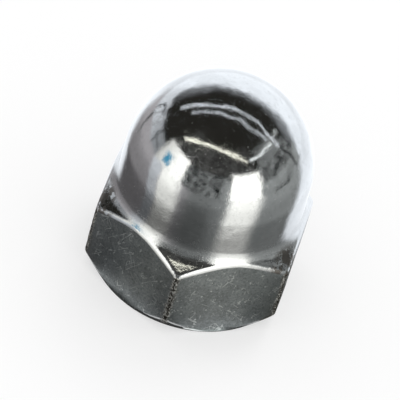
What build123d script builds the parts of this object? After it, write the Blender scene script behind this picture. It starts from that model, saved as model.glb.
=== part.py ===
from build123d import *
from math import acos, atan2, cos, degrees, hypot, pi, radians, tan
import os

# Cap nut for an M8 screw: a hexagon with a closed, domed crown, forged, turned and tapped as one piece.
# Millimetres and degrees. The bearing face lies on Z = 0 and the crown points to +Z.
# Two corners of the hexagon lie on the Y axis, and two flats face along X.

# Hexagon
across_flats = 13.0
hexagon_height = 6.3  # from the bearing face up to the foot of the dome
corner_round = 0.3  # on the six upright edges
shoulder_angle = 40.5  # slope of the turned shoulder under the dome, from the level
shoulder_edge_round = 0.4  # where the shoulder or the hollow runs out into the flats
bearing_chamfer_angle = 52.0  # slope of the chamfer round the bearing face, from the level
bearing_inset = 0.06  # the bearing circle lies this far inside the flats
bearing_edge_round = 0.12  # where that chamfer runs out into the flats
bearing_rim_round = 0.06  # round the bearing circle itself

# Dome
shoulder_width = 0.3  # from the middle of a flat's top edge in to the dome's foot
foot_fillet = 1.1  # hollow round the foot of the dome, which the flats cut into
dome_draft = 0.1  # the round crown's radius is this much smaller than the dome's foot
total_height = 15.0

# Tapped blind hole
thread_size = 8.0
thread_pitch = 1.25
crown_wall = 2.0  # metal left between the drill's point and the top of the crown
drill_point_angle = 118.0
countersink_margin = 0.25  # the mouth is wider than the thread by this much all round
countersink_angle = 120.0

# Radii and heights that follow from the sizes above
flat_radius = across_flats / 2
corner_radius = flat_radius / cos(pi / 6)
clear_of_hexagon = 0.5
turned_radius = corner_radius + clear_of_hexagon
bearing_radius = flat_radius - bearing_inset
foot_radius = flat_radius - shoulder_width
crown_radius = foot_radius - dome_draft
crown_centre = total_height - crown_radius

# The thread's sharp triangle of 60 degrees, and the metric thread's inner radius
thread_triangle = thread_pitch * cos(pi / 6)
bore_radius = thread_size / 2 - thread_triangle * 5 / 8
mouth_radius = thread_size / 2 + countersink_margin
mouth_depth = (mouth_radius - bore_radius) / tan(radians(countersink_angle / 2))
point_depth = bore_radius / tan(radians(drill_point_angle / 2))
bore_depth = total_height - crown_wall - point_depth

# Each slope ends in two rounds, and one may use this share of the slope
slope_share = 0.48


def fitted_round(radius, turn, slope_width, slope_angle):
    """The wanted radius at an edge that turns by an angle, or what its share of the slope has room for."""
    slope_length = slope_width / cos(radians(slope_angle))
    return min(radius, slope_share * slope_length / tan(radians(turn / 2)))


def crown_start():
    """The angle above the level at which a line from the dome's foot touches the round crown."""
    rise = hexagon_height - crown_centre
    reach = hypot(foot_radius, rise)
    return degrees(atan2(rise, foot_radius) + acos(crown_radius / reach))


def turned_blank():
    """The solid of revolution that holds both slopes, the hollow at the dome's foot and the dome."""
    lower_edge = (turned_radius - bearing_radius) * tan(radians(bearing_chamfer_angle))
    upper_edge = hexagon_height - (turned_radius - foot_radius) * tan(radians(shoulder_angle))
    foot = (foot_radius, hexagon_height)
    rim = (bearing_radius, 0)
    start = crown_start()
    slope_to_corner = corner_radius - foot_radius
    hollow = fitted_round(foot_fillet, 90 - shoulder_angle, slope_to_corner, shoulder_angle)
    rim_round = fitted_round(
        bearing_rim_round, bearing_chamfer_angle, bearing_inset, bearing_chamfer_angle
    )
    with BuildPart() as blank:
        with BuildSketch(Plane.XZ) as section:
            with BuildLine():
                crown = CenterArc((0, crown_centre), crown_radius, start, 90 - start)
                Polyline(
                    crown @ 1,
                    (0, 0),
                    rim,
                    (turned_radius, lower_edge),
                    (turned_radius, upper_edge),
                    foot,
                    crown @ 0,
                )
            make_face()
            fillet(section.vertices().sort_by_distance(foot)[0], hollow)
            fillet(section.vertices().sort_by_distance(rim)[0], rim_round)
        revolve(axis=Axis.Z)
    return blank.part


def hexagon_bar():
    """The hexagon with its upright edges rounded, as tall as the whole nut."""
    with BuildPart() as bar:
        with BuildSketch() as outline:
            RegularPolygon(flat_radius, 6, major_radius=False, rotation=90)
            fillet(outline.vertices(), corner_round)
        extrude(amount=total_height)
    return bar.part


def blind_hole():
    """The hole at the thread's inner radius, with its countersunk mouth and drilled end."""
    with BuildPart() as hole:
        with BuildSketch(Plane.XZ):
            with BuildLine():
                Polyline(
                    (0, 0),
                    (mouth_radius, 0),
                    (bore_radius, mouth_depth),
                    (bore_radius, bore_depth),
                    (0, bore_depth + point_depth),
                    close=True,
                )
            make_face()
        revolve(axis=Axis.Z)
    return hole.part


def run_out_edges(body, above):
    """The curved edges in which a slope runs out into the hexagon's sides, above or below its middle."""
    turned_or_straight = (GeomType.LINE, GeomType.CIRCLE)
    middle = hexagon_height / 2
    return [
        edge
        for edge in body.edges()
        if edge.geom_type not in turned_or_straight and (edge.center().Z > middle) == above
    ]


def cap_nut():
    """The finished nut."""
    shoulder_round = fitted_round(
        shoulder_edge_round, 90 - shoulder_angle, shoulder_width, shoulder_angle
    )
    lower_round = fitted_round(
        bearing_edge_round, 90 - bearing_chamfer_angle, bearing_inset, bearing_chamfer_angle
    )
    body = hexagon_bar() & turned_blank()
    body = fillet(run_out_edges(body, above=True), shoulder_round)
    body = fillet(run_out_edges(body, above=False), lower_round)
    nut = body - blind_hole()
    nut.label = "cap_nut"
    return nut


os.makedirs("parts", exist_ok=True)
export_step(cap_nut(), "parts/cap_nut.step")
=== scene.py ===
from math import acos, atan2, copysign, cos, hypot, pi, radians, sin, sqrt, tan
from random import Random

import bmesh
import bpy
from bpy.props import FloatProperty, FloatVectorProperty, IntProperty, PointerProperty
from mathutils import Matrix, Vector, noise


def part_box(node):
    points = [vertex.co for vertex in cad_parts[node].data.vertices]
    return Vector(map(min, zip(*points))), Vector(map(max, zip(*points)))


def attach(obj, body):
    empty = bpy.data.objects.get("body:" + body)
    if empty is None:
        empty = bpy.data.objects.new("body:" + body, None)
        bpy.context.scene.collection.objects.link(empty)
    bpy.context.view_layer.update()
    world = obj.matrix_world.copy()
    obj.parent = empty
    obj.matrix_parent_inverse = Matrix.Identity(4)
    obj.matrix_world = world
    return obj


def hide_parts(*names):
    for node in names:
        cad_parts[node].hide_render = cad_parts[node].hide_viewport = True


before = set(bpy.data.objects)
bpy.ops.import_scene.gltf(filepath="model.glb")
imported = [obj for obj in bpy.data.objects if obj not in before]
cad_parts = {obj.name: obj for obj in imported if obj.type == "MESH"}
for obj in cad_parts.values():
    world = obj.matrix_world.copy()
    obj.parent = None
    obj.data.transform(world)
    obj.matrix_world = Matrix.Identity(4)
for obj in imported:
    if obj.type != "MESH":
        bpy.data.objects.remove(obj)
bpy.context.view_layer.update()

bl_info = {
    "name": "Domed cap nut",
    "version": (1, 0, 0),
    "blender": (4, 5, 0),
    "location": "3D View > Sidebar > Cap nut",
    "description": "A polished, plated cap nut with a tapped blind hole, in a small photo studio",
    "category": "Mesh",
}

# Lengths are modelled in millimetres and scaled to metres at the end
MM = 0.001
CAD_LOW, CAD_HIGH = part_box("cap_nut")
FLATS = 6


def length_property(name, description, default):
    """A length in metres."""
    return FloatProperty(
        name=name, description=description, default=default, subtype="DISTANCE", unit="LENGTH"
    )


def angle_property(name, description, degrees):
    return FloatProperty(
        name=name, description=description, default=radians(degrees), subtype="ANGLE", unit="ROTATION"
    )


def colour_property(name, description, default):
    return FloatVectorProperty(
        name=name, description=description, default=default, size=3, min=0, max=1, subtype="COLOR"
    )


class CapNutSizes(bpy.types.PropertyGroup):
    """Sizes of the nut. Width and height come from the frame."""

    across_flats: length_property(
        "Across flats", "Width of the hexagon between two opposite flats", CAD_HIGH.x - CAD_LOW.x
    )
    total_height: length_property("Height", "From the bearing face to the top of the crown", CAD_HIGH.z)
    hexagon_height: length_property(
        "Hexagon height", "From the bearing face up to the foot of the dome", 6.3 * MM
    )
    corner_round: length_property("Corner round", "Radius on the six upright edges", 0.3 * MM)
    shoulder_angle: angle_property(
        "Shoulder angle", "Slope of the turned shoulder, from the level", 40.5
    )
    shoulder_width: length_property(
        "Shoulder width", "From the middle of a flat's top edge in to the dome's foot", 0.3 * MM
    )
    shoulder_edge_round: length_property(
        "Shoulder edge round",
        "Radius where the shoulder runs out into the flats, worn wider than when new",
        0.7 * MM,
    )
    foot_fillet: length_property(
        "Foot fillet", "Radius of the hollow round the dome's foot, wider than when new", 1.5 * MM
    )
    dome_draft: length_property(
        "Dome draft", "The crown's radius is this much smaller than the dome's foot", 0.1 * MM
    )
    bearing_chamfer_angle: angle_property(
        "Bearing chamfer", "Slope of the chamfer round the bearing face, from the level", 52
    )
    bearing_inset: length_property(
        "Bearing inset", "The bearing circle lies this far inside the flats", 0.06 * MM
    )
    bearing_edge_round: length_property(
        "Bearing edge round",
        "Radius where the bearing chamfer runs out into the flats, worn wider than when new",
        0.6 * MM,
    )
    thread_size: length_property("Thread", "Outer diameter of the thread", 8 * MM)
    thread_pitch: length_property("Thread pitch", "Rise of the thread in one turn", 1.25 * MM)
    crown_wall: length_property(
        "Crown wall", "Metal between the drill's point and the top of the crown", 2 * MM
    )
    columns: IntProperty(
        name="Columns", description="Faces round the nut, a multiple of twelve", default=240, min=48
    )


class CapNutFinish(bpy.types.PropertyGroup):
    """Colours of the metal."""

    plating: colour_property(
        "Polished plating", "Colour of the dome, the shoulder and the worn edges", (0.56, 0.575, 0.585)
    )
    # The flats' colour is partly painted shade: darker than the plating's own, so that the flats look as
    # dark as the surroundings they mirror
    flats: colour_property("Satin flats", "Colour of the six flats", (0.30, 0.325, 0.33))
    bore: colour_property(
        "Machined bore", "Colour of the thread and the bearing face", (0.46, 0.46, 0.45)
    )


class CapNutStudio(bpy.types.PropertyGroup):
    """The camera's place and the studio round the nut."""

    azimuth: angle_property(
        "Camera azimuth", "Turn of the camera round the nut, from the corner that faces it", 3.424
    )
    elevation: angle_property("Camera elevation", "Height of the camera over the level", 41.989)
    roll: angle_property("Camera roll", "Tilt of the picture, which leans the nut to the left", 16.658)
    distance: length_property(
        "Camera distance", "From the camera to the point that it aims at", 201.5 * MM
    )
    focal_length: FloatProperty(
        name="Focal length",
        description="Of the lens on a 36 mm sensor",
        default=282.3,
        subtype="DISTANCE_CAMERA",
        unit="CAMERA",
    )
    floor_colour: colour_property("Floor", "Colour of the floor", (0.93, 0.93, 0.93))


def direction(azimuth, elevation):
    """Unit vector from the nut; azimuth 0 is towards -Y, 90 degrees towards +X."""
    return Vector((
        sin(azimuth) * cos(elevation),
        -cos(azimuth) * cos(elevation),
        sin(elevation),
    ))


def fitted_round(radius, turn, slope_length):
    """The wanted radius, or what a share of the slope has room for."""
    slope_share = 0.48
    return min(radius, slope_share * slope_length / tan(turn / 2))


def arc_points(centre, start, end, steps):
    """Points on the short arc from start to end about a centre, both ends included."""
    radius = (start - centre).length
    turn = (start - centre).angle_signed(end - centre)
    points = []
    for step in range(steps + 1):
        spoke = (start - centre).normalized() * radius
        spoke.rotate(Matrix.Rotation(-turn * step / steps, 2))
        points.append(centre + spoke)
    return points


def spread_along(path, steps):
    """Points at even distances along a path of many short straight runs."""
    lengths = [0.0]
    for first, second in zip(path, path[1:]):
        lengths.append(lengths[-1] + (second - first).length)
    points = []
    run = 0
    for step in range(steps + 1):
        wanted = lengths[-1] * step / steps
        while run < len(path) - 2 and lengths[run + 1] < wanted:
            run += 1
        share = (wanted - lengths[run]) / max(lengths[run + 1] - lengths[run], 1e-9)
        points.append(path[run].lerp(path[run + 1], min(share, 1.0)))
    return points


class Outline:
    """The nut's section through its axis, in millimetres, for any reach of the hexagon."""

    bearing_rim_round = 0.06
    countersink_margin = 0.25
    countersink_half_angle = radians(60)
    drill_half_angle = radians(59)
    bearing_rows = 6
    rim_rows = 3
    chamfer_rows = 3
    lower_round_rows = 4
    side_rows = 16
    upper_round_rows = 10
    shoulder_rows = 18
    dome_side_rows = 8
    crown_rows = 60
    thread_rows = 14
    point_rows = 6
    mouth_rows = 7
    hollow_steps = 12

    def __init__(self, sizes):
        self.flat_radius = sizes.across_flats / MM / 2
        self.hexagon_height = sizes.hexagon_height / MM
        self.total_height = sizes.total_height / MM
        self.corner_round = sizes.corner_round / MM
        self.shoulder_angle = sizes.shoulder_angle
        self.shoulder_round = sizes.shoulder_edge_round / MM
        self.bearing_angle = sizes.bearing_chamfer_angle
        self.bearing_radius = self.flat_radius - sizes.bearing_inset / MM
        self.bearing_round = sizes.bearing_edge_round / MM
        self.foot_radius = self.flat_radius - sizes.shoulder_width / MM
        self.crown_radius = self.foot_radius - sizes.dome_draft / MM
        self.crown_centre = self.total_height - self.crown_radius
        self.pitch = sizes.thread_pitch / MM
        self.thread_radius = sizes.thread_size / MM / 2
        self.bore_radius = self.thread_radius - self.pitch * cos(pi / 6) * 5 / 8
        self.mouth_radius = self.thread_radius + self.countersink_margin
        self.mouth_depth = (self.mouth_radius - self.bore_radius) / tan(self.countersink_half_angle)
        self.point_depth = self.bore_radius / tan(self.drill_half_angle)
        self.bore_depth = self.total_height - sizes.crown_wall / MM - self.point_depth
        self.set_hollow(sizes.foot_fillet / MM)

    def set_hollow(self, radius):
        """The hollow at the dome's foot: a circle that touches the shoulder's slope and the dome's side."""
        foot = Vector((self.foot_radius, self.hexagon_height))
        rise = self.hexagon_height - self.crown_centre
        self.crown_start = atan2(rise, self.foot_radius) + acos(
            self.crown_radius / hypot(self.foot_radius, rise)
        )
        up_side = (self.crown_point(self.crown_start) - foot).normalized()
        self.down_slope = Vector((cos(self.shoulder_angle), -sin(self.shoulder_angle)))
        half = up_side.angle(self.down_slope) / 2
        self.hollow_radius = radius
        self.hollow_top = foot + up_side * (radius / tan(half))
        self.hollow_end = foot + self.down_slope * (radius / tan(half))
        self.hollow_centre = foot + (up_side + self.down_slope).normalized() * (radius / sin(half))

    def crown_point(self, angle):
        return Vector((
            self.crown_radius * cos(angle),
            self.crown_centre + self.crown_radius * sin(angle),
        ))

    def hole(self):
        """From the drill's point down the bore to the mouth."""
        tip = Vector((0, self.bore_depth + self.point_depth))
        bore_end = Vector((self.bore_radius, self.bore_depth))
        bore_start = Vector((self.bore_radius, self.mouth_depth))
        mouth = Vector((self.mouth_radius, 0))
        rows = round((self.bore_depth - self.mouth_depth) / self.pitch * self.thread_rows)
        points = spread_along([tip, bore_end], self.point_rows)
        points += spread_along([bore_end, bore_start], rows)[1:]
        points += spread_along([bore_start, mouth], self.mouth_rows)[1:]
        return points

    def lower_part(self, reach):
        """From the mouth over the bearing face and its chamfer to the start of the hexagon's side."""
        mouth = Vector((self.mouth_radius, 0))
        rim = Vector((self.bearing_radius, 0))
        slope = Vector((cos(self.bearing_angle), sin(self.bearing_angle)))
        slope_length = (reach - self.bearing_radius) / slope.x
        edge = rim + slope * slope_length
        rim_round = fitted_round(self.bearing_rim_round, self.bearing_angle, slope_length)
        rim_touch = rim_round * tan(self.bearing_angle / 2)
        turn = pi / 2 - self.bearing_angle
        edge_round = fitted_round(self.bearing_round, turn, slope_length)
        edge_touch = edge_round * tan(turn / 2)
        rim_start = rim - Vector((rim_touch, 0))
        rim_end = rim + slope * rim_touch
        edge_start = edge - slope * edge_touch
        edge_end = edge + Vector((0, edge_touch))
        rim_centre = rim_start + Vector((0, rim_round))
        edge_centre = edge_end - Vector((edge_round, 0))
        points = spread_along([mouth, rim_start], self.bearing_rows)[1:]
        points += arc_points(rim_centre, rim_start, rim_end, self.rim_rows)[1:]
        points += spread_along([rim_end, edge_start], self.chamfer_rows)[1:]
        points += arc_points(edge_centre, edge_start, edge_end, self.lower_round_rows)[1:]
        return points

    def upper_part(self, reach, edge_round):
        """From the end of the hexagon's side over its edge, the shoulder and the hollow to the dome."""
        inward = reach - edge_round - self.hollow_centre.x
        both = self.hollow_radius + edge_round
        drop = sqrt(both * both - inward * inward)
        centre = Vector((reach - edge_round, self.hollow_centre.y - drop))
        touch = self.hollow_centre + (centre - self.hollow_centre) * (self.hollow_radius / both)
        if touch.x > self.hollow_end.x:
            hollow = arc_points(self.hollow_centre, self.hollow_end, self.hollow_top, self.hollow_steps)
            turn = pi / 2 - self.shoulder_angle
            edge = self.hollow_end + self.down_slope * ((reach - self.hollow_end.x) / self.down_slope.x)
            touch = edge - self.down_slope * (edge_round * tan(turn / 2))
            centre = Vector((reach - edge_round, edge.y - edge_round * tan(turn / 2)))
            path = [touch] + hollow
        else:
            path = arc_points(self.hollow_centre, touch, self.hollow_top, self.hollow_steps)
        side_end = Vector((reach, centre.y))
        points = arc_points(centre, side_end, touch, self.upper_round_rows)
        points += spread_along(path, self.shoulder_rows)[1:]
        return points

    def outside(self, reach, edge_round):
        """The whole outer section, from beside the mouth to the top of the crown."""
        lower = self.lower_part(reach)
        upper = self.upper_part(reach, edge_round)
        side = spread_along([lower[-1], upper[0]], self.side_rows)[1:-1]
        top = self.crown_point(self.crown_start)
        dome = spread_along([upper[-1], top], self.dome_side_rows)[1:]
        crown_step = (pi / 2 - self.crown_start) / self.crown_rows
        for row in range(1, self.crown_rows + 1):
            dome.append(self.crown_point(self.crown_start + crown_step * row))
        return lower + side + upper + dome


def flat_normal(index):
    """The direction that one of the six flats faces; flat 0 faces +X."""
    turn = 2 * pi * index / FLATS
    return Vector((cos(turn), sin(turn), 0))


class Hexagon:
    """How far the hexagon reaches at each column, with more columns at its rounded corners."""

    corner_columns = 3

    def __init__(self, outline, columns):
        self.outline = outline
        self.per_corner = columns // FLATS
        self.round_centre = (outline.flat_radius - outline.corner_round) / cos(pi / FLATS)
        touch_across = outline.corner_round * sin(pi / FLATS)
        touch_along = self.round_centre + outline.corner_round * cos(pi / FLATS)
        self.round_angle = atan2(touch_across, touch_along)

    def turn(self, column):
        """Angle of a column round the axis; column 0 is in the middle of the flat that faces +X."""
        from_corner = (column % self.per_corner) - self.per_corner / 2
        corner = (column // self.per_corner + 0.5) * 2 * pi / FLATS
        steps = abs(from_corner)
        if steps <= self.corner_columns:
            off = self.round_angle * steps / self.corner_columns
        else:
            share = (steps - self.corner_columns) / (self.per_corner / 2 - self.corner_columns)
            off = self.round_angle + (pi / FLATS - self.round_angle) * share
        return corner + copysign(off, from_corner)

    def reach(self, turn):
        """How far the side lies from the axis at an angle round it."""
        sector = 2 * pi / FLATS
        from_flat = abs((turn + sector / 2) % sector - sector / 2)
        from_corner = pi / FLATS - from_flat
        if from_corner >= self.round_angle:
            return self.outline.flat_radius / cos(from_flat)
        across = self.round_centre * sin(from_corner)
        along = sqrt(self.outline.corner_round ** 2 - across ** 2)
        return self.round_centre * cos(from_corner) + along


def spin_line(bm, verts, turn, steps, closed=False):
    """Joins the points into a line and turns it about the axis into a surface."""
    edges = [bm.edges.new(pair) for pair in zip(verts, verts[1:])]
    bmesh.ops.spin(
        bm, geom=verts + edges, cent=(0, 0, 0), axis=(0, 0, 1), dvec=(0, 0, 0),
        angle=turn, steps=steps, use_merge=closed,
    )


def spun_skin(bm, rows, columns):
    """A closed skin of rows and columns about the axis, not yet shaped; each point knows its row."""
    row_of = bm.verts.layers.int.new("row")
    verts = []
    for row in range(rows):
        wide = 0 if row in (0, rows - 1) else 1
        vert = bm.verts.new((wide, 0, row))
        vert[row_of] = row
        verts.append(vert)
    spin_line(bm, verts, 2 * pi, columns, closed=True)
    bmesh.ops.remove_doubles(bm, verts=bm.verts[:], dist=0.0005)
    return row_of


def thread_reach(outline, radius, height, turn):
    """Radius of the bore's wall with the thread cut into it, which fades near the blind end."""
    ridge_width, flank_width = 0.25, 0.625
    turns_without_thread, turns_of_fading = 1.6, 0.8
    end = outline.bore_depth - turns_without_thread * outline.pitch
    phase = (height / outline.pitch - turn / (2 * pi)) % 1
    groove = 1 - abs(2 * phase - 1)
    depth = min(max((groove - ridge_width) / flank_width, 0), 1)
    fade = min(max((end - height) / (turns_of_fading * outline.pitch) + 1, 0), 1)
    full_depth = outline.thread_radius - outline.bore_radius
    return max(radius, outline.bore_radius + full_depth * depth * fade)


def shape_skin(bm, row_of, outline, hexagon, columns):
    """Gives every point of the skin its place in the section at its column."""
    hole = outline.hole()
    for_column = {}
    for vert in bm.verts:
        column = round(atan2(vert.co.y, vert.co.x) / (2 * pi) * columns) % columns
        if column not in for_column:
            turn = hexagon.turn(column)
            outside = outline.outside(hexagon.reach(turn), outline.shoulder_round)
            for_column[column] = (turn, hole + outside)
        turn, points = for_column[column]
        row = vert[row_of]
        radius, height = points[row]
        threaded = outline.point_rows <= row < len(hole) - 1
        if threaded:
            radius = thread_reach(outline, radius, height, turn)
        vert.co = Vector((radius * cos(turn), radius * sin(turn), height))
    bmesh.ops.recalc_face_normals(bm, faces=bm.faces[:])


def make_uneven(bm, outline):
    """Small dents and waves in the dome and the flats, as on a forged and tumbled nut."""
    swell_depth, ripple_depth, dent_depth = 0.012, 0.004, 0.03
    even_height = 0.2
    hole_top = outline.bore_depth + outline.point_depth + 0.01
    hole_reach = outline.mouth_radius + 0.1
    bm.normal_update()
    near_edge = bm.verts.layers.float["near_edge"]
    for vert in bm.verts:
        in_hole = hypot(vert.co.x, vert.co.y) < hole_reach and vert.co.z < hole_top
        if in_hole or vert.co.z < even_height:
            continue
        wave = noise.noise(vert.co * 0.45) * swell_depth + noise.noise(vert.co * 1.3) * ripple_depth
        # The waves go almost wholly inward, so the piece stays within the solid's box
        vert.co += vert.normal * (wave - swell_depth)
        worn = vert[near_edge] ** 2
        if worn > 0:
            dents = noise.noise(vert.co * 2.6) + 0.6 * noise.noise(vert.co * 6.5)
            vert.co -= vert.normal * worn * dent_depth * max(dents + 0.25, 0)


def mark_edges(bm, outline):
    """Notes at each point how close it is to one of the hexagon's upright edges, 1 on the edge itself."""
    near_edge = bm.verts.layers.float.new("near_edge")
    reach_of_wear, over_side, fading = 0.75, 0.12, 0.25
    tolerance = 0.02
    corner = outline.flat_radius / cos(pi / FLATS)
    side_end = outline.hexagon_height - (corner - outline.foot_radius) * tan(outline.shoulder_angle)
    sector = 2 * pi / FLATS
    for vert in bm.verts:
        reach = hypot(vert.co.x, vert.co.y)
        if reach < outline.flat_radius - tolerance:
            continue
        turn = atan2(vert.co.y, vert.co.x)
        from_corner = abs((turn % sector) - sector / 2) * reach
        below_top = min(max((side_end + over_side - vert.co.z) / fading, 0), 1)
        vert[near_edge] = min(max(1 - from_corner / reach_of_wear, 0), 1) * below_top


def finish_object(name, bm):
    """Scales the model to metres and links it as an object at the origin."""
    bmesh.ops.scale(bm, vec=(MM, MM, MM), verts=bm.verts[:])
    mesh = bpy.data.meshes.new(name)
    bm.to_mesh(mesh)
    bm.free()
    piece = bpy.data.objects.new(name, mesh)
    bpy.context.scene.collection.objects.link(piece)
    return piece


class CAPNUT_OT_camera(bpy.types.Operator):
    """Make the camera at the photograph's angle"""

    bl_idname = "capnut.camera"
    bl_label = "Camera"

    def execute(self, context):
        studio = context.scene.cap_nut_studio
        # Aim point: on the nut's axis, half the hexagon's width up, shifted a little in the picture
        aim = Vector((0, 0, CAD_HIGH.x))
        picture_shift = (0.69 * MM, 0.68 * MM)
        back = direction(studio.azimuth, studio.elevation)
        level_right = Vector((0, 0, 1)).cross(back).normalized()
        level_up = back.cross(level_right)
        right = level_right * cos(studio.roll) + level_up * sin(studio.roll)
        up = level_up * cos(studio.roll) - level_right * sin(studio.roll)
        data = bpy.data.cameras.new("camera")
        data.sensor_width = 36.0
        data.lens = studio.focal_length
        data.clip_start = 10 * MM
        data.clip_end = 5
        camera = bpy.data.objects.new("camera", data)
        context.scene.collection.objects.link(camera)
        place = aim + back * studio.distance - right * picture_shift[0] - up * picture_shift[1]
        turned = Matrix((right, up, back)).transposed().to_4x4()
        camera.matrix_world = Matrix.Translation(place) @ turned
        context.scene.camera = camera
        context.scene.view_settings.view_transform = "Standard"
        return {"FINISHED"}


class CAPNUT_OT_nut(bpy.types.Operator):
    """Model the nut as one closed piece and give it its finish"""

    bl_idname = "capnut.nut"
    bl_label = "Cap nut"

    def execute(self, context):
        sizes = context.scene.cap_nut_sizes
        outline = Outline(sizes)
        hexagon = Hexagon(outline, sizes.columns)
        outside = outline.outside(hexagon.reach(0), outline.shoulder_round)
        rows = len(outline.hole()) + len(outside)
        bm = bmesh.new()
        row_of = spun_skin(bm, rows, sizes.columns)
        shape_skin(bm, row_of, outline, hexagon, sizes.columns)
        mark_edges(bm, outline)
        make_uneven(bm, outline)
        open_edges = [edge for edge in bm.edges if len(edge.link_faces) != 2]
        if open_edges:
            raise RuntimeError(f"the nut has {len(open_edges)} open edges")
        piece = finish_object("cap_nut_plated", bm)
        give_finish(piece, context.scene.cap_nut_finish, outline)
        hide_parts("cap_nut")
        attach(piece, "root")
        return {"FINISHED"}


class Value:
    """A shader value that is added, subtracted, multiplied and divided like a number."""

    def __init__(self, socket):
        self.socket = socket
        self.tree = socket.id_data

    def __add__(self, other):
        return maths("ADD", self, other)

    def __sub__(self, other):
        return maths("SUBTRACT", self, other)

    def __mul__(self, other):
        return maths("MULTIPLY", self, other)

    def __truediv__(self, other):
        return maths("DIVIDE", self, other)


def add_node(tree, kind, settings=None, **inputs):
    """A shader node with its settings; each input is set, or linked where a Value is given.

    An input is named by its label, with low lines for spaces, or by i and its number.
    """
    made = tree.nodes.new(kind)
    for name, value in (settings or {}).items():
        setattr(made, name, value)
    for name, value in inputs.items():
        by_number = name[0] == "i" and name[1:].isdigit()
        socket = made.inputs[int(name[1:]) if by_number else name.replace("_", " ")]
        if isinstance(value, Value):
            tree.links.new(value.socket, socket)
        elif socket.type == "RGBA":
            socket.default_value = (*value, 1)
        else:
            socket.default_value = value
    return made


def maths(operation, first, second=0.0, third=0.0):
    made = add_node(first.tree, "ShaderNodeMath", {"operation": operation}, i0=first, i1=second, i2=third)
    return Value(made.outputs[0])


def largest(first, *others):
    for other in others:
        first = maths("MAXIMUM", first, other)
    return first


def ramp(value, low, high, start=0.0, end=1.0):
    """The value mapped smoothly from low..high to start..end."""
    made = add_node(
        value.tree, "ShaderNodeMapRange", {"interpolation_type": "SMOOTHSTEP", "clamp": True},
        Value=value, From_Min=low, From_Max=high, To_Min=start, To_Max=end,
    )
    return Value(made.outputs["Result"])


def band(value, before, low, high, beyond):
    """1 from low to high, and 0 before and beyond."""
    return ramp(value, before, low) * ramp(value, beyond, high)


def noise_value(place, scale, detail=2.0, roughness=0.5):
    """A random value about 0.5 that changes smoothly from place to place."""
    made = add_node(
        place.tree, "ShaderNodeTexNoise",
        Vector=place, Scale=scale, Detail=detail, Roughness=roughness,
    )
    return Value(made.outputs[0])


def parts_of(place):
    """The three coordinates of a place."""
    made = add_node(place.tree, "ShaderNodeSeparateXYZ", Vector=place)
    return [Value(socket) for socket in made.outputs]


def blended(factor, first, second):
    """The first colour, or the second where the factor is 1."""
    made = add_node(factor.tree, "ShaderNodeMix", {"data_type": "RGBA"}, i0=factor, i6=first, i7=second)
    return Value(made.outputs[2])


def shaded(colour, share):
    return tuple(part * share for part in colour)


def new_material(name, unit=1.0):
    """A material that has no shader yet, its output node, and object coordinates in the unit in metres."""
    material = bpy.data.materials.new(name)
    material.use_nodes = True
    tree = material.node_tree
    tree.nodes.clear()
    output = add_node(tree, "ShaderNodeOutputMaterial")
    place = Value(add_node(tree, "ShaderNodeTexCoord").outputs["Object"])
    scaled = add_node(tree, "ShaderNodeVectorMath", {"operation": "SCALE"}, i0=place, Scale=1 / unit)
    return material, output, Value(scaled.outputs["Vector"])


def show_shader(output, shader):
    output.id_data.links.new(shader.outputs[0], output.inputs["Surface"])


def show_mix(output, share, first, second):
    """Shows the first shader, or the second where the share is 1."""
    first, second = Value(first.outputs[0]), Value(second.outputs[0])
    show_shader(output, add_node(share.tree, "ShaderNodeMixShader", i0=share, i1=first, i2=second))


def metal(output, colour, roughness, height, depth):
    """Shows the metal, with a bump of the given depth in millimetres."""
    tree = output.id_data
    bump = add_node(tree, "ShaderNodeBump", Height=height, Distance=depth * MM, Strength=1.0)
    normal = Value(bump.outputs[0])
    show_shader(output, add_node(
        tree, "ShaderNodeBsdfPrincipled",
        Base_Color=colour, Roughness=roughness, Metallic=1.0, Normal=normal,
    ))


def group_with(name, outputs, **inputs):
    """A node group with float outputs, and its inputs as values; each input is given with its default."""
    group = bpy.data.node_groups.new(name, "ShaderNodeTree")
    for label, default in inputs.items():
        kind = "NodeSocketVector" if isinstance(default, tuple) else "NodeSocketFloat"
        group.interface.new_socket(label, in_out="INPUT", socket_type=kind).default_value = default
    for label in outputs:
        group.interface.new_socket(label, in_out="OUTPUT", socket_type="NodeSocketFloat")
    entry = add_node(group, "NodeGroupInput")
    return group, *(Value(entry.outputs[label]) for label in inputs)


def group_values(group, place, **inputs):
    """What a node group gives at a place."""
    made = add_node(place.tree, "ShaderNodeGroup", {"node_tree": group}, Place=place, **inputs)
    return [Value(socket) for socket in made.outputs]


def scratch_group():
    """Fine straight scratches in one direction, broken up along their length."""
    group, place, turn, density, width = group_with(
        "fine_scratches", ["Mask"], Place=(0, 0, 0), Turn=(0, 0, 0), Density=3.0, Width=0.01
    )
    rotation, product = {"rotation_type": "EULER_XYZ"}, {"operation": "MULTIPLY"}
    turned = add_node(group, "ShaderNodeVectorRotate", rotation, Vector=place, Rotation=turn)
    along = Value(turned.outputs[0])
    stretched = add_node(group, "ShaderNodeVectorMath", product, i0=along, i1=(0.06, 1.0, 1.0))
    lines = noise_value(Value(stretched.outputs[0]), density, 1.0)
    thin = maths("LESS_THAN", maths("ABSOLUTE", lines - 0.5), width)
    shown = maths("GREATER_THAN", noise_value(place, 1.5, 2.0), 0.55)
    add_node(group, "NodeGroupOutput", Mask=thin * shown)
    return group


def pit_group():
    """Tiny pits and specks of uneven size."""
    group, place, density, size = group_with("pits", ["Mask"], Place=(0, 0, 0), Density=2.0, Size=0.12)
    cells = add_node(group, "ShaderNodeTexVoronoi", {"feature": "F1"}, Vector=place, Scale=density).outputs
    colours = add_node(group, "ShaderNodeSeparateColor", Color=Value(cells["Color"])).outputs
    size = size * Value(colours[0]) * (noise_value(place, 14.0, 2.0) + 0.5)
    inside = Value(cells["Distance"]) / largest(size, 0.001)
    add_node(group, "NodeGroupOutput", Mask=ramp(inside, 1.0, 0.6))
    return group


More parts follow.
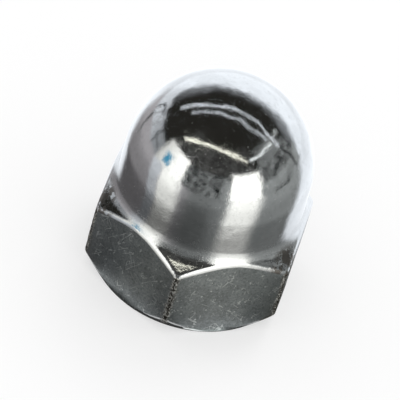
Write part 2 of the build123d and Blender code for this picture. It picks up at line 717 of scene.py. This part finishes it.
def wear_group():
    """Masks of the wear along the upright edges: a stained band, the dark line on the edge, chips."""
    group, place, near = group_with("edge_wear", ["Stain", "Line", "Chips"], Place=(0, 0, 0), Near=0.0)
    stain = ramp(near + noise_value(place, 2.4, 4.0, 0.65) * 0.9, 0.95, 1.35)
    line = ramp(near + noise_value(place, 5.0, 3.0, 0.65) * 0.3, 0.93, 1.01)
    chips = ramp(noise_value(place, 8.0, 3.0, 0.75), 0.52, 0.57) * ramp(near, 0.6, 0.85)
    add_node(group, "NodeGroupOutput", Stain=stain, Line=line, Chips=chips)
    return group


def scratched(groups, place, *directions):
    """Scratches in several directions, each given as its turn, its density and its width."""
    return largest(*(
        group_values(groups["scratches"], place, Turn=turn, Density=density, Width=width)[0]
        for turn, density, width in directions
    ))


def pitted(groups, place, density, size):
    return group_values(groups["pits"], place, Density=density, Size=size)[0]


def worn_edges(groups, place):
    """The masks of the stain, the line and the chips."""
    attribute = add_node(place.tree, "ShaderNodeAttribute", {"attribute_name": "near_edge"})
    return group_values(groups["wear"], place, Near=Value(attribute.outputs["Fac"]))


def edge_tone(tone, wear, stain_share, stain_colour, line_colour):
    """The colour with the upright edges' stain, dark line and bright chips over it."""
    stain, line, chips = wear
    tone = blended(stain * stain_share, tone, stain_colour)
    tone = blended(line * 0.8, tone, line_colour)
    return blended(chips, tone, (0.75, 0.75, 0.72))


def edge_height(place, wear, stain_height, chip_height):
    """What the stain's rough metal and the chips add to the bump."""
    stain, _, chips = wear
    return noise_value(place, 7.0, 3.0, 0.7) * stain * stain_height + chips * chip_height


def shoulder_dirt(place):
    """Mask of the old dirt on the shoulder by the corners to the left and right."""
    across, along, height_above = parts_of(place)
    beside_corner = band(maths("ABSOLUTE", across), 5.1, 5.7, 6.6, 7.0)
    on_shoulder = band(height_above, 4.7, 5.0, 6.1, 6.5)
    in_front = ramp(along, -1.7, -2.7)
    blots = ramp(noise_value(place, 1.8, 4.0, 0.75), 0.44, 0.5)
    return blots * beside_corner * on_shoulder * in_front


def polished_plating(finish, groups):
    """Bright plating on the dome, the shoulder and the rounded edges."""
    material, output, place = new_material("polished_plating", MM)
    marks = scratched(groups, place, ((0.3, 0.5, 0.9), 3.2, 0.004), ((1.1, -0.4, 2.2), 2.6, 0.003))
    pits, dust = pitted(groups, place, 2.4, 0.10), pitted(groups, place, 3.0, 0.10)
    wear = worn_edges(groups, place)
    stain, _, chips = wear
    dirt = shoulder_dirt(place)
    height_above = parts_of(place)[2]
    plating = tuple(finish.plating)

    tone = blended(ramp(noise_value(place, 0.5, 3.0), 0.35, 0.7), plating, shaded(plating, 0.88))
    mottle = noise_value(place, 3.2, 5.0, 0.7)
    tone = blended(ramp(mottle, 0.5, 0.7, 0.0, 0.8), tone, shaded(plating, 0.84))
    tone = blended(pits * 0.75, tone, (0.10, 0.10, 0.10))
    tone = edge_tone(tone, wear, 0.8, (0.22, 0.205, 0.185), (0.07, 0.06, 0.05))
    tone = blended(dirt * 0.85, tone, (0.085, 0.07, 0.055))

    # The polishing wheel doesn't reach into the hollow at the dome's foot
    hollow = band(height_above, 6.0, 6.3, 6.9, 7.9)
    roughness = ramp(noise_value(place, 16.0, 3.0, 0.6), 0.35, 0.72, 0.03, 0.12)
    roughness = roughness + hollow * 0.14 + marks * 0.15
    roughness = roughness + largest(dust * 0.5, stain * 0.25, dirt * 0.25, chips * 0.4)

    # The shoulder is left rougher than the dome
    shoulder = band(height_above, 4.6, 4.9, 6.1, 6.3)
    hammered = noise_value(place, 2.6, 4.0, 0.65) * shoulder
    ripple, fine = noise_value(place, 5.0, 4.0, 0.65), noise_value(place, 12.0, 2.0, 0.6)
    height = noise_value(place, 1.1, 2.0) + ripple * 0.26 + fine * 0.2 + hammered * 0.7
    height = height - marks * 0.05 - pits * 0.3 + edge_height(place, wear, 2.5, 3.0)
    metal(output, tone, roughness, height, 0.012)
    return material


def satin_flats_with_painted_shade(finish, groups):
    """Duller plating on the six flats. Their colour is darker than the dome's, partly as the plating's own
    duller tone and partly as painted shade for the dark surroundings that the flats mirror.
    """
    material, output, place = new_material("satin_flats_with_painted_shade", MM)
    marks = scratched(groups, place, ((0.2, 0.9, 0.4), 2.2, 0.013), ((1.2, 0.3, -0.8), 1.8, 0.011))
    pits, specks = pitted(groups, place, 1.3, 0.16), pitted(groups, place, 2.2, 0.2)
    wear = worn_edges(groups, place)
    chips = wear[2]
    cloud, speckle = noise_value(place, 0.9, 4.0), noise_value(place, 6.0, 4.0, 0.8)
    # This colour is partly the plating's own and partly painted shade, darker than the satin plating really
    # is
    plating = tuple(finish.flats)

    tone = blended(ramp(cloud, 0.3, 0.7), plating, shaded(plating, 0.75))
    tone = blended(ramp(speckle, 0.48, 0.64, 0.0, 0.6), tone, shaded(plating, 0.35))
    glints = ramp(speckle, 0.40, 0.32, 0.0, 0.5)
    tone = blended(largest(marks * 0.55, specks * 0.65, glints), tone, (0.75, 0.78, 0.78))
    tone = edge_tone(tone, wear, 0.65, (0.17, 0.16, 0.145), (0.06, 0.055, 0.05))

    roughness = ramp(speckle, 0.3, 0.75, 0.32, 0.48) + chips * 0.3
    height = speckle * 0.6 + cloud * 1.5 - pits - marks * 0.4 + edge_height(place, wear, 1.0, 2.0)
    metal(output, tone, roughness, height, 0.02)
    return material


def machined_bore(finish):
    """Turned metal in the tapped hole and on the bearing face, with fine rings."""
    material, output, place = new_material("machined_bore", MM)
    across, along, _ = parts_of(place)
    rings = maths("SINE", maths("SQRT", across * across + along * along) * 70.0)
    speckle = noise_value(place, 7.0, 3.0)
    steel = tuple(finish.bore)
    tone = blended(ramp(speckle, 0.35, 0.7), steel, shaded(steel, 0.7))
    roughness = ramp(speckle, 0.3, 0.7, 0.25, 0.42)
    metal(output, tone, roughness, rings * 0.25 + speckle, 0.004)
    return material


FLAT_SLOT, BORE_SLOT = 1, 2


def on_a_flat(face, flat_radius):
    """Whether a face lies in the plane of one of the six flats."""
    near, least_cosine = 0.03 * MM, 0.995
    for index in range(FLATS):
        outward = flat_normal(index)
        in_plane = abs(face.center.dot(outward) - flat_radius) < near
        if in_plane and face.normal.dot(outward) > least_cosine:
            return True
    return False


def give_finish(piece, finish, outline):
    """Assigns the finishes face by face."""
    groups = {"scratches": scratch_group(), "pits": pit_group(), "wear": wear_group()}
    for material in (polished_plating(finish, groups), satin_flats_with_painted_shade(finish, groups), machined_bore(finish)):
        piece.data.materials.append(material)
    mouth_radius = outline.mouth_radius * MM
    hole_top = (outline.bore_depth + outline.point_depth) * MM
    underside = 0.02 * MM
    for face in piece.data.polygons:
        centre = face.center
        in_hole = hypot(centre.x, centre.y) < mouth_radius and centre.z < hole_top
        if in_hole or centre.z < underside:
            face.material_index = BORE_SLOT
        elif on_a_flat(face, outline.flat_radius * MM):
            face.material_index = FLAT_SLOT
        face.use_smooth = True


def azimuth_of(place):
    across, along, _ = parts_of(place)
    return maths("ARCTAN2", across, along * -1.0)


def distance_of(place):
    made = add_node(place.tree, "ShaderNodeVectorMath", {"operation": "LENGTH"}, i0=place)
    return Value(made.outputs["Value"])


def off_middle(azimuth, azimuths):
    """The azimuth counted from the middle of two others, to a half turn each way."""
    return maths("WRAP", azimuth - radians(sum(azimuths) / 2), pi, -pi)


def between(angle, low, high, fades):
    """1 between two angles in degrees and 0 outside them, with a soft end at each."""
    return band(angle, radians(low), radians(low + fades[0]), radians(high - fades[1]), radians(high))


def ragged(place, scale, reach):
    """A small random offset in radians, for uneven edges."""
    return (noise_value(place, scale, 4.0, 0.6) - 0.5) * (radians(reach) * 2)


def emission(output, colour, level, shown):
    """Light where shown is 1 and nothing at all where it is 0."""
    light = add_node(shown.tree, "ShaderNodeEmission", Color=colour, Strength=level)
    show_mix(output, shown, add_node(shown.tree, "ShaderNodeBsdfTransparent"), light)


def glow(name, colour, strength, azimuths, fades, elevations, edges, uneven=3.0, arch=0.0):
    """Material of a light or grey card with soft, uneven ends; its angles are in degrees.

    The strength is one number, or two numbers for the two ends in azimuth, or three for a mottled card:
    the two strengths that it changes between and the scale. An arched card is lower towards its ends.
    """
    material, output, place = new_material(name)
    half = (azimuths[1] - azimuths[0]) / 2
    off = off_middle(azimuth_of(place), azimuths)
    elevation = maths("ARCSINE", parts_of(place)[2] / distance_of(place))
    height = elevation + ragged(place, 22.0, uneven) + off * off * arch
    shown = between(off + ragged(place, 60.0, uneven), -half, half, fades)
    shown = shown * between(height, *elevations, edges)
    if not isinstance(strength, tuple):
        level = strength
    elif len(strength) == 2:
        level = ramp(off, -radians(half), radians(half), *strength)
    else:
        low, high, scale = strength
        level = ramp(noise_value(place, scale, 5.0, 0.7), 0.40, 0.64, low, high)
    emission(output, colour, level, shown)
    return material


def sheen(name, colour, azimuths, fades, levels):
    """Material of a light on the table, with its levels beside the nut, a little off and far off."""
    beside, off_nut, far = 14.8 * MM, 19.8 * MM, 60 * MM
    side_offset = 3.7 * MM
    material, output, place = new_material(name)
    half = (azimuths[1] - azimuths[0]) / 2
    away = distance_of(place)
    # The dome's side mirrors a place near the nut as if it lay farther round than it does
    around = azimuth_of(place) * ((away + side_offset) / away)
    shown = between(off_middle(around, azimuths), -half, half, fades)
    near = ramp(away, beside, off_nut, levels[0], levels[1])
    wide = ramp(away, off_nut, far, 0.0, levels[2] - levels[1])
    emission(output, colour, near + wide, shown)
    return material


def staged(name, bm, material):
    """Finishes a card, which shows in reflections and lights nothing by itself."""
    card = finish_object(name, bm)
    card.data.materials.append(material)
    for rays in ("camera", "diffuse", "shadow", "transmission", "volume_scatter"):
        setattr(card, f"visible_{rays}", False)


def sky_card(name, azimuths, elevations, reach, material):
    """Part of a sphere round the nut, between two azimuths and two elevations."""
    rows, columns = 24, 48
    bm = bmesh.new()
    points = []
    for row in range(rows + 1):
        elevation = elevations[0] + (elevations[1] - elevations[0]) * row / rows
        points.append(bm.verts.new(direction(radians(azimuths[0]), radians(elevation)) * reach))
    spin_line(bm, points, radians(azimuths[1] - azimuths[0]), columns)
    bmesh.ops.remove_doubles(bm, verts=bm.verts[:], dist=0.0001)
    staged(name, bm, material)


def floor_card(name, azimuths, radii, height, material):
    """Part of a ring that lies just over the floor."""
    columns = 36
    bm = bmesh.new()
    ends = [bm.verts.new(direction(radians(azimuths[0]), 0) * radius) for radius in radii]
    spin_line(bm, ends, radians(azimuths[1] - azimuths[0]), columns)
    bmesh.ops.translate(bm, verts=bm.verts[:], vec=(0, 0, height))
    staged(name, bm, material)


def light_line(name, width, reach, colour, strength, *places):
    """A thin light or dark line through places in the sky, each an azimuth and an elevation in degrees."""
    steps = 90
    path = [direction(radians(azimuth), radians(elevation)) for azimuth, elevation in places]
    path = [point.normalized() * reach for point in spread_along(path, steps)]
    half = reach * tan(radians(width / 2))
    # The metal's small waves make a mirrored line jagged
    narrowest, widest = 0.55, 1.25
    chance = Random(reach)
    bm = bmesh.new()
    pairs = []
    for index, point in enumerate(path):
        before, after = path[max(index - 1, 0)], path[min(index + 1, steps)]
        across = (after - before).cross(point).normalized() * half
        one_side = bm.verts.new(point - across * chance.uniform(narrowest, widest))
        other_side = bm.verts.new(point + across * chance.uniform(narrowest, widest))
        pairs.append((one_side, other_side))
    for pair, follower in zip(pairs, pairs[1:]):
        sides = [bm.edges.new(ends) for ends in zip(pair, follower)]
        bmesh.ops.bridge_loops(bm, edges=sides)
    material, output, place = new_material(name)
    emission(output, colour, strength, ramp(noise_value(place, 110.0, 3.0, 0.7), 0.36, 0.5, 0.3, 1.0))
    staged(name, bm, material)


def make_floor(studio):
    """A pale floor that is bright enough to turn white in the picture and still holds the shadow."""
    half_width, share_of_white = 3000, 0.55
    bm = bmesh.new()
    bmesh.ops.create_grid(bm, x_segments=1, y_segments=1, size=half_width)
    floor = finish_object("floor", bm)
    material, output, place = new_material("pale_floor", MM)
    tree = material.node_tree
    colour = tuple(studio.floor_colour)
    tone = blended(noise_value(place, 2.0, 3.0), colour, shaded(colour, 0.995))
    lit = add_node(tree, "ShaderNodeBsdfDiffuse", Color=tone)
    white = add_node(tree, "ShaderNodeEmission", Color=(1, 1, 1), Strength=1.0)
    path = add_node(tree, "ShaderNodeLightPath").outputs
    seen = Value(path["Is Camera Ray"]) + Value(path["Is Glossy Ray"]) + Value(path["Is Transmission Ray"])
    show_mix(output, maths("MINIMUM", seen, 1.0) * share_of_white, lit, white)
    floor.data.materials.append(material)


def make_world():
    """An even white surrounding."""
    world = bpy.data.worlds.new("white studio")
    world.use_nodes = True
    tree = world.node_tree
    tree.nodes.clear()
    output = add_node(tree, "ShaderNodeOutputWorld")
    show_shader(output, add_node(tree, "ShaderNodeBackground", Color=(1, 1, 1), Strength=1.0))
    bpy.context.scene.world = world


def area_lamp(name, azimuth, elevation, reach, size, energy):
    """A round lamp that faces the nut, with angles in degrees, lengths in metres and its power in watts."""
    data = bpy.data.lights.new(name, "AREA")
    data.shape = "DISK"
    data.size = size
    data.energy = energy
    lamp = bpy.data.objects.new(name, data)
    back = direction(radians(azimuth), radians(elevation))
    turned = back.to_track_quat("Z", "Y").to_matrix().to_4x4()
    lamp.matrix_world = Matrix.Translation(back * reach) @ turned
    lamp.visible_glossy = False
    bpy.context.scene.collection.objects.link(lamp)


# Colours of the lights and walls, and the ends of a card without fades
WARM = (1.0, 0.985, 0.93)
CREAM = (1.0, 0.97, 0.82)
COOL = (0.93, 0.96, 1.0)
PLAIN = (0.97, 1.0, 0.98)
ROSE = (1.0, 0.95, 0.97)
BLUE = (0.12, 0.55, 0.85)
HARD = (0.1, 0.1)


def make_sky():
    """The cards above the table that the dome mirrors, from the farthest to the nearest."""
    # Each card's name, azimuths, elevations and distance, and then its glow
    for name, azimuths, elevations, reach, *look in (
        ("ceiling", (-180, 180), (0, 90), 400,
         "dark_ceiling", CREAM, 0.03, (-181, 181), HARD, (-5, 95), HARD, 0.0),
        ("front_ceiling", (-70, 64), (22, 66), 360,
         "ceiling_specks", WARM, (0.005, 0.2, 60.0), (-70, 64), (15, 10), (24, 64), (6, 12), 4.0),
        ("back_fringe", (110, 246), (0, 60), 320,
         "back_haze", COOL, 0.36, (112, 244), (20, 24), (-40, 54), (0.1, 16), 8.0, 0.35),
        ("back", (114, 242), (0, 52), 300,
         "back_panel", COOL, 1.62, (116, 240), (10, 12), (-40, 46), (0.1, 14), 8.0, 0.573),
        ("left_side", (-148, -68), (0, 26), 290,
         "left_wall", COOL, (1.3, 0.42), (-146, -70), (14, 3), (-20, 20), (1, 5), 4.0),
        ("right_side", (58, 132), (0, 26), 290,
         "right_wall", PLAIN, (0.36, 0.56, 8.0), (61, 130), (3, 8), (-20, 20), (1, 6), 5.0),
        ("right_clutter", (60, 126), (12, 40), 285,
         "right_band", PLAIN, (0.04, 0.6, 42.0), (62, 124), (3, 8), (16, 35), (3, 3), 4.0),
        ("right_above", (62, 118), (26, 62), 284,
         "right_upper_wall", PLAIN, (0.26, 0.42, 14.0), (64, 116), (4, 6), (31, 58), (2, 14), 4.0),
        ("front", (-36, 30), (0, 34), 280,
         "front_clutter", PLAIN, (0.0, 0.5, 50.0), (-33, 27), (2, 2), (-20, 30), (1, 6), 3.0),
        ("beside_right_light", (11, 29), (0, 28), 275,
         "grey_post", PLAIN, 0.45, (13, 27), (6, 2), (-20, 25), (1, 4), 3.0),
        ("left_light", (-78, -28), (0, 34), 270,
         "left_box", WARM, (1.1, 2.2), (-75, -31), (5, 3), (-20, 30), (1, 3), 2.5),
        ("blue_reflection", (-67, -50), (1, 22), 265,
         "blue_strip", BLUE, 0.8, (-65, -52), (3, 3), (2, 19), (3, 3), 3.0),
        ("right_light", (21, 68), (0, 34), 262,
         "right_box", WARM, (2.6, 2.2), (25, 65), (2, 4), (-20, 31), (1, 2), 2.0),
    ):
        sky_card(name, azimuths, elevations, reach, glow(*look))

    # Each line's name, width, distance, colour and strength, and then the places on it
    for line in (
        ("outer_seam", 2.0, 250, COOL, 2.3,
         (-111, 32), (-131, 61), (-179, 70), (151, 69), (130, 62), (111, 50), (105, 33)),
        ("inner_seam", 1.8, 249, COOL, 1.9,
         (-104, 47), (-127, 73), (-157, 81), (139, 77), (107, 71), (101, 60), (99, 48)),
        ("front_seam", 2.6, 248, CREAM, 3.4,
         (-63, 40), (-30, 53.5), (-14, 56), (12, 56), (36, 50), (50, 43)),
        ("side_seam", 2.4, 247, PLAIN, 2.6, (56, 44), (74, 44), (100, 42)),
        ("short_seam", 1.6, 246, PLAIN, 1.2, (108, 43), (123, 39)),
        ("left_line", 3.0, 245, PLAIN, 0.03, (-124, 1), (-124, 6), (-120, 12), (-110, 15)),
        ("left_line_two", 1.4, 245, PLAIN, 0.2, (-118, 1), (-117, 6), (-113, 14), (-106, 17)),
        ("left_line_three", 1.2, 245, PLAIN, 0.25, (-107, 1), (-106, 5), (-101, 14)),
        ("loop", 2.8, 245, PLAIN, 0.03, (-78, 22), (-89, 19), (-92, 11), (-91, 7), (-90, 1)),
        ("loop_two", 2.2, 245, PLAIN, 0.03, (-90, 11), (-84, 8), (-76, 6)),
        ("right_edge", 2.6, 245, PLAIN, 0.03, (101, 31), (92, 25), (81, 17)),
        ("right_curve", 3.2, 245, PLAIN, 0.03, (106, 32), (108, 25), (113, 14), (114, 8), (116, 1)),
        ("right_arc", 2.4, 245, PLAIN, 0.03, (79, 2), (92, 1.5), (101, 1)),
        ("right_spot", 4.0, 245, PLAIN, 0.02, (97, 3), (101, 2.5)),
    ):
        light_line(*line)


def make_table():
    """The sheens on the table that the dome's side and the flats mirror."""
    reach = (7.6, 290)
    # Each card's name, azimuths, radii and height, and then its sheen
    for name, azimuths, radii, height, *look in (
        ("contact_shade", (-180, 180), (3, 6.95), 0.02,
         "under_the_nut", PLAIN, (-181, 181), HARD, (0.05, 0.05, 0.05)),
        ("beside_the_lower_edge", (11, 64), (6.54, 6.82), 0.03,
         "light_by_the_lower_edge", PLAIN, (12, 62), (8, 12), (1.3, 1.3, 1.3)),
        ("beside_the_right_flat", (56, 122), (6.95, 11.2), 0.09,
         "right_rear_shade", CREAM, (40, 170), (6, 6), (0.1, 0.1, 0.1)),
        ("table", (-152, 136), reach, 0.02,
         "dark_table", PLAIN, (-150, 134), (10, 10), (0.1, 0.14, 0.26)),
        ("table_left", (-152, -6), reach, 0.03,
         "left_side_sheen", ROSE, (-150, -10), (14, 30), (0.14, 0.34, 0.6)),
        ("table_right", (0, 136), reach, 0.03,
         "right_side_sheen", PLAIN, (2, 134), (28, 8), (0.21, 0.34, 0.44)),
        ("table_left_outer", (-80, -40), reach, 0.04,
         "left_outer_sheen", COOL, (-78, -58), (6, 3), (0.15, 0.62, 1.0)),
        ("table_left_light", (-64, -16), reach, 0.05,
         "left_sheen", WARM, (-61, -26), (5, 12), (0.22, 1.1, 1.75)),
        ("table_right_light", (12, 74), reach, 0.05,
         "right_sheen", WARM, (22, 73), (13, 17), (0.5, 1.45, 1.85)),
        ("table_left_line", (-127, -110), (30, 290), 0.06,
         "left_dark_line", PLAIN, (-125, -120), (1.5, 1.5), (0.25, 0.3, 0.1)),
        ("table_behind", (70, 268), (7.6, 320), 0.07,
         "back_sheen", COOL, (117, 228), (14, 20), (1.25, 1.5, 1.4)),
    ):
        floor_card(name, azimuths, radii, height, sheen(*look))


class CAPNUT_OT_studio(bpy.types.Operator):
    """Make the floor, the lamp and the cards that the metal mirrors"""

    bl_idname = "capnut.studio"
    bl_label = "Studio"

    def execute(self, context):
        studio = context.scene.cap_nut_studio
        make_floor(studio)
        make_world()
        area_lamp("key", azimuth=165, elevation=55, reach=0.6, size=0.25, energy=0.42)
        make_sky()
        make_table()
        return {"FINISHED"}


class CAPNUT_PT_panel(bpy.types.Panel):
    """Lists the steps that make the nut and its studio"""

    bl_idname = "CAPNUT_PT_panel"
    bl_label = "Cap nut"
    bl_space_type = "VIEW_3D"
    bl_region_type = "UI"
    bl_category = "Cap nut"

    def draw(self, context):
        for operator in (CAPNUT_OT_camera, CAPNUT_OT_nut, CAPNUT_OT_studio):
            self.layout.operator(operator.bl_idname)
        for settings in (
            context.scene.cap_nut_sizes,
            context.scene.cap_nut_finish,
            context.scene.cap_nut_studio,
        ):
            for name in settings.bl_rna.properties.keys():
                if name not in ("rna_type", "name"):
                    self.layout.prop(settings, name)


CLASSES = (
    CapNutSizes,
    CapNutFinish,
    CapNutStudio,
    CAPNUT_OT_camera,
    CAPNUT_OT_nut,
    CAPNUT_OT_studio,
    CAPNUT_PT_panel,
)


def register():
    for each in CLASSES:
        bpy.utils.register_class(each)
    bpy.types.Scene.cap_nut_sizes = PointerProperty(type=CapNutSizes)
    bpy.types.Scene.cap_nut_finish = PointerProperty(type=CapNutFinish)
    bpy.types.Scene.cap_nut_studio = PointerProperty(type=CapNutStudio)


def unregister():
    del bpy.types.Scene.cap_nut_studio
    del bpy.types.Scene.cap_nut_finish
    del bpy.types.Scene.cap_nut_sizes
    for each in reversed(CLASSES):
        bpy.utils.unregister_class(each)


def main():
    register()
    bpy.ops.capnut.camera()
    bpy.ops.capnut.nut()
    bpy.ops.capnut.studio()


if __name__ == "__main__":
    main()
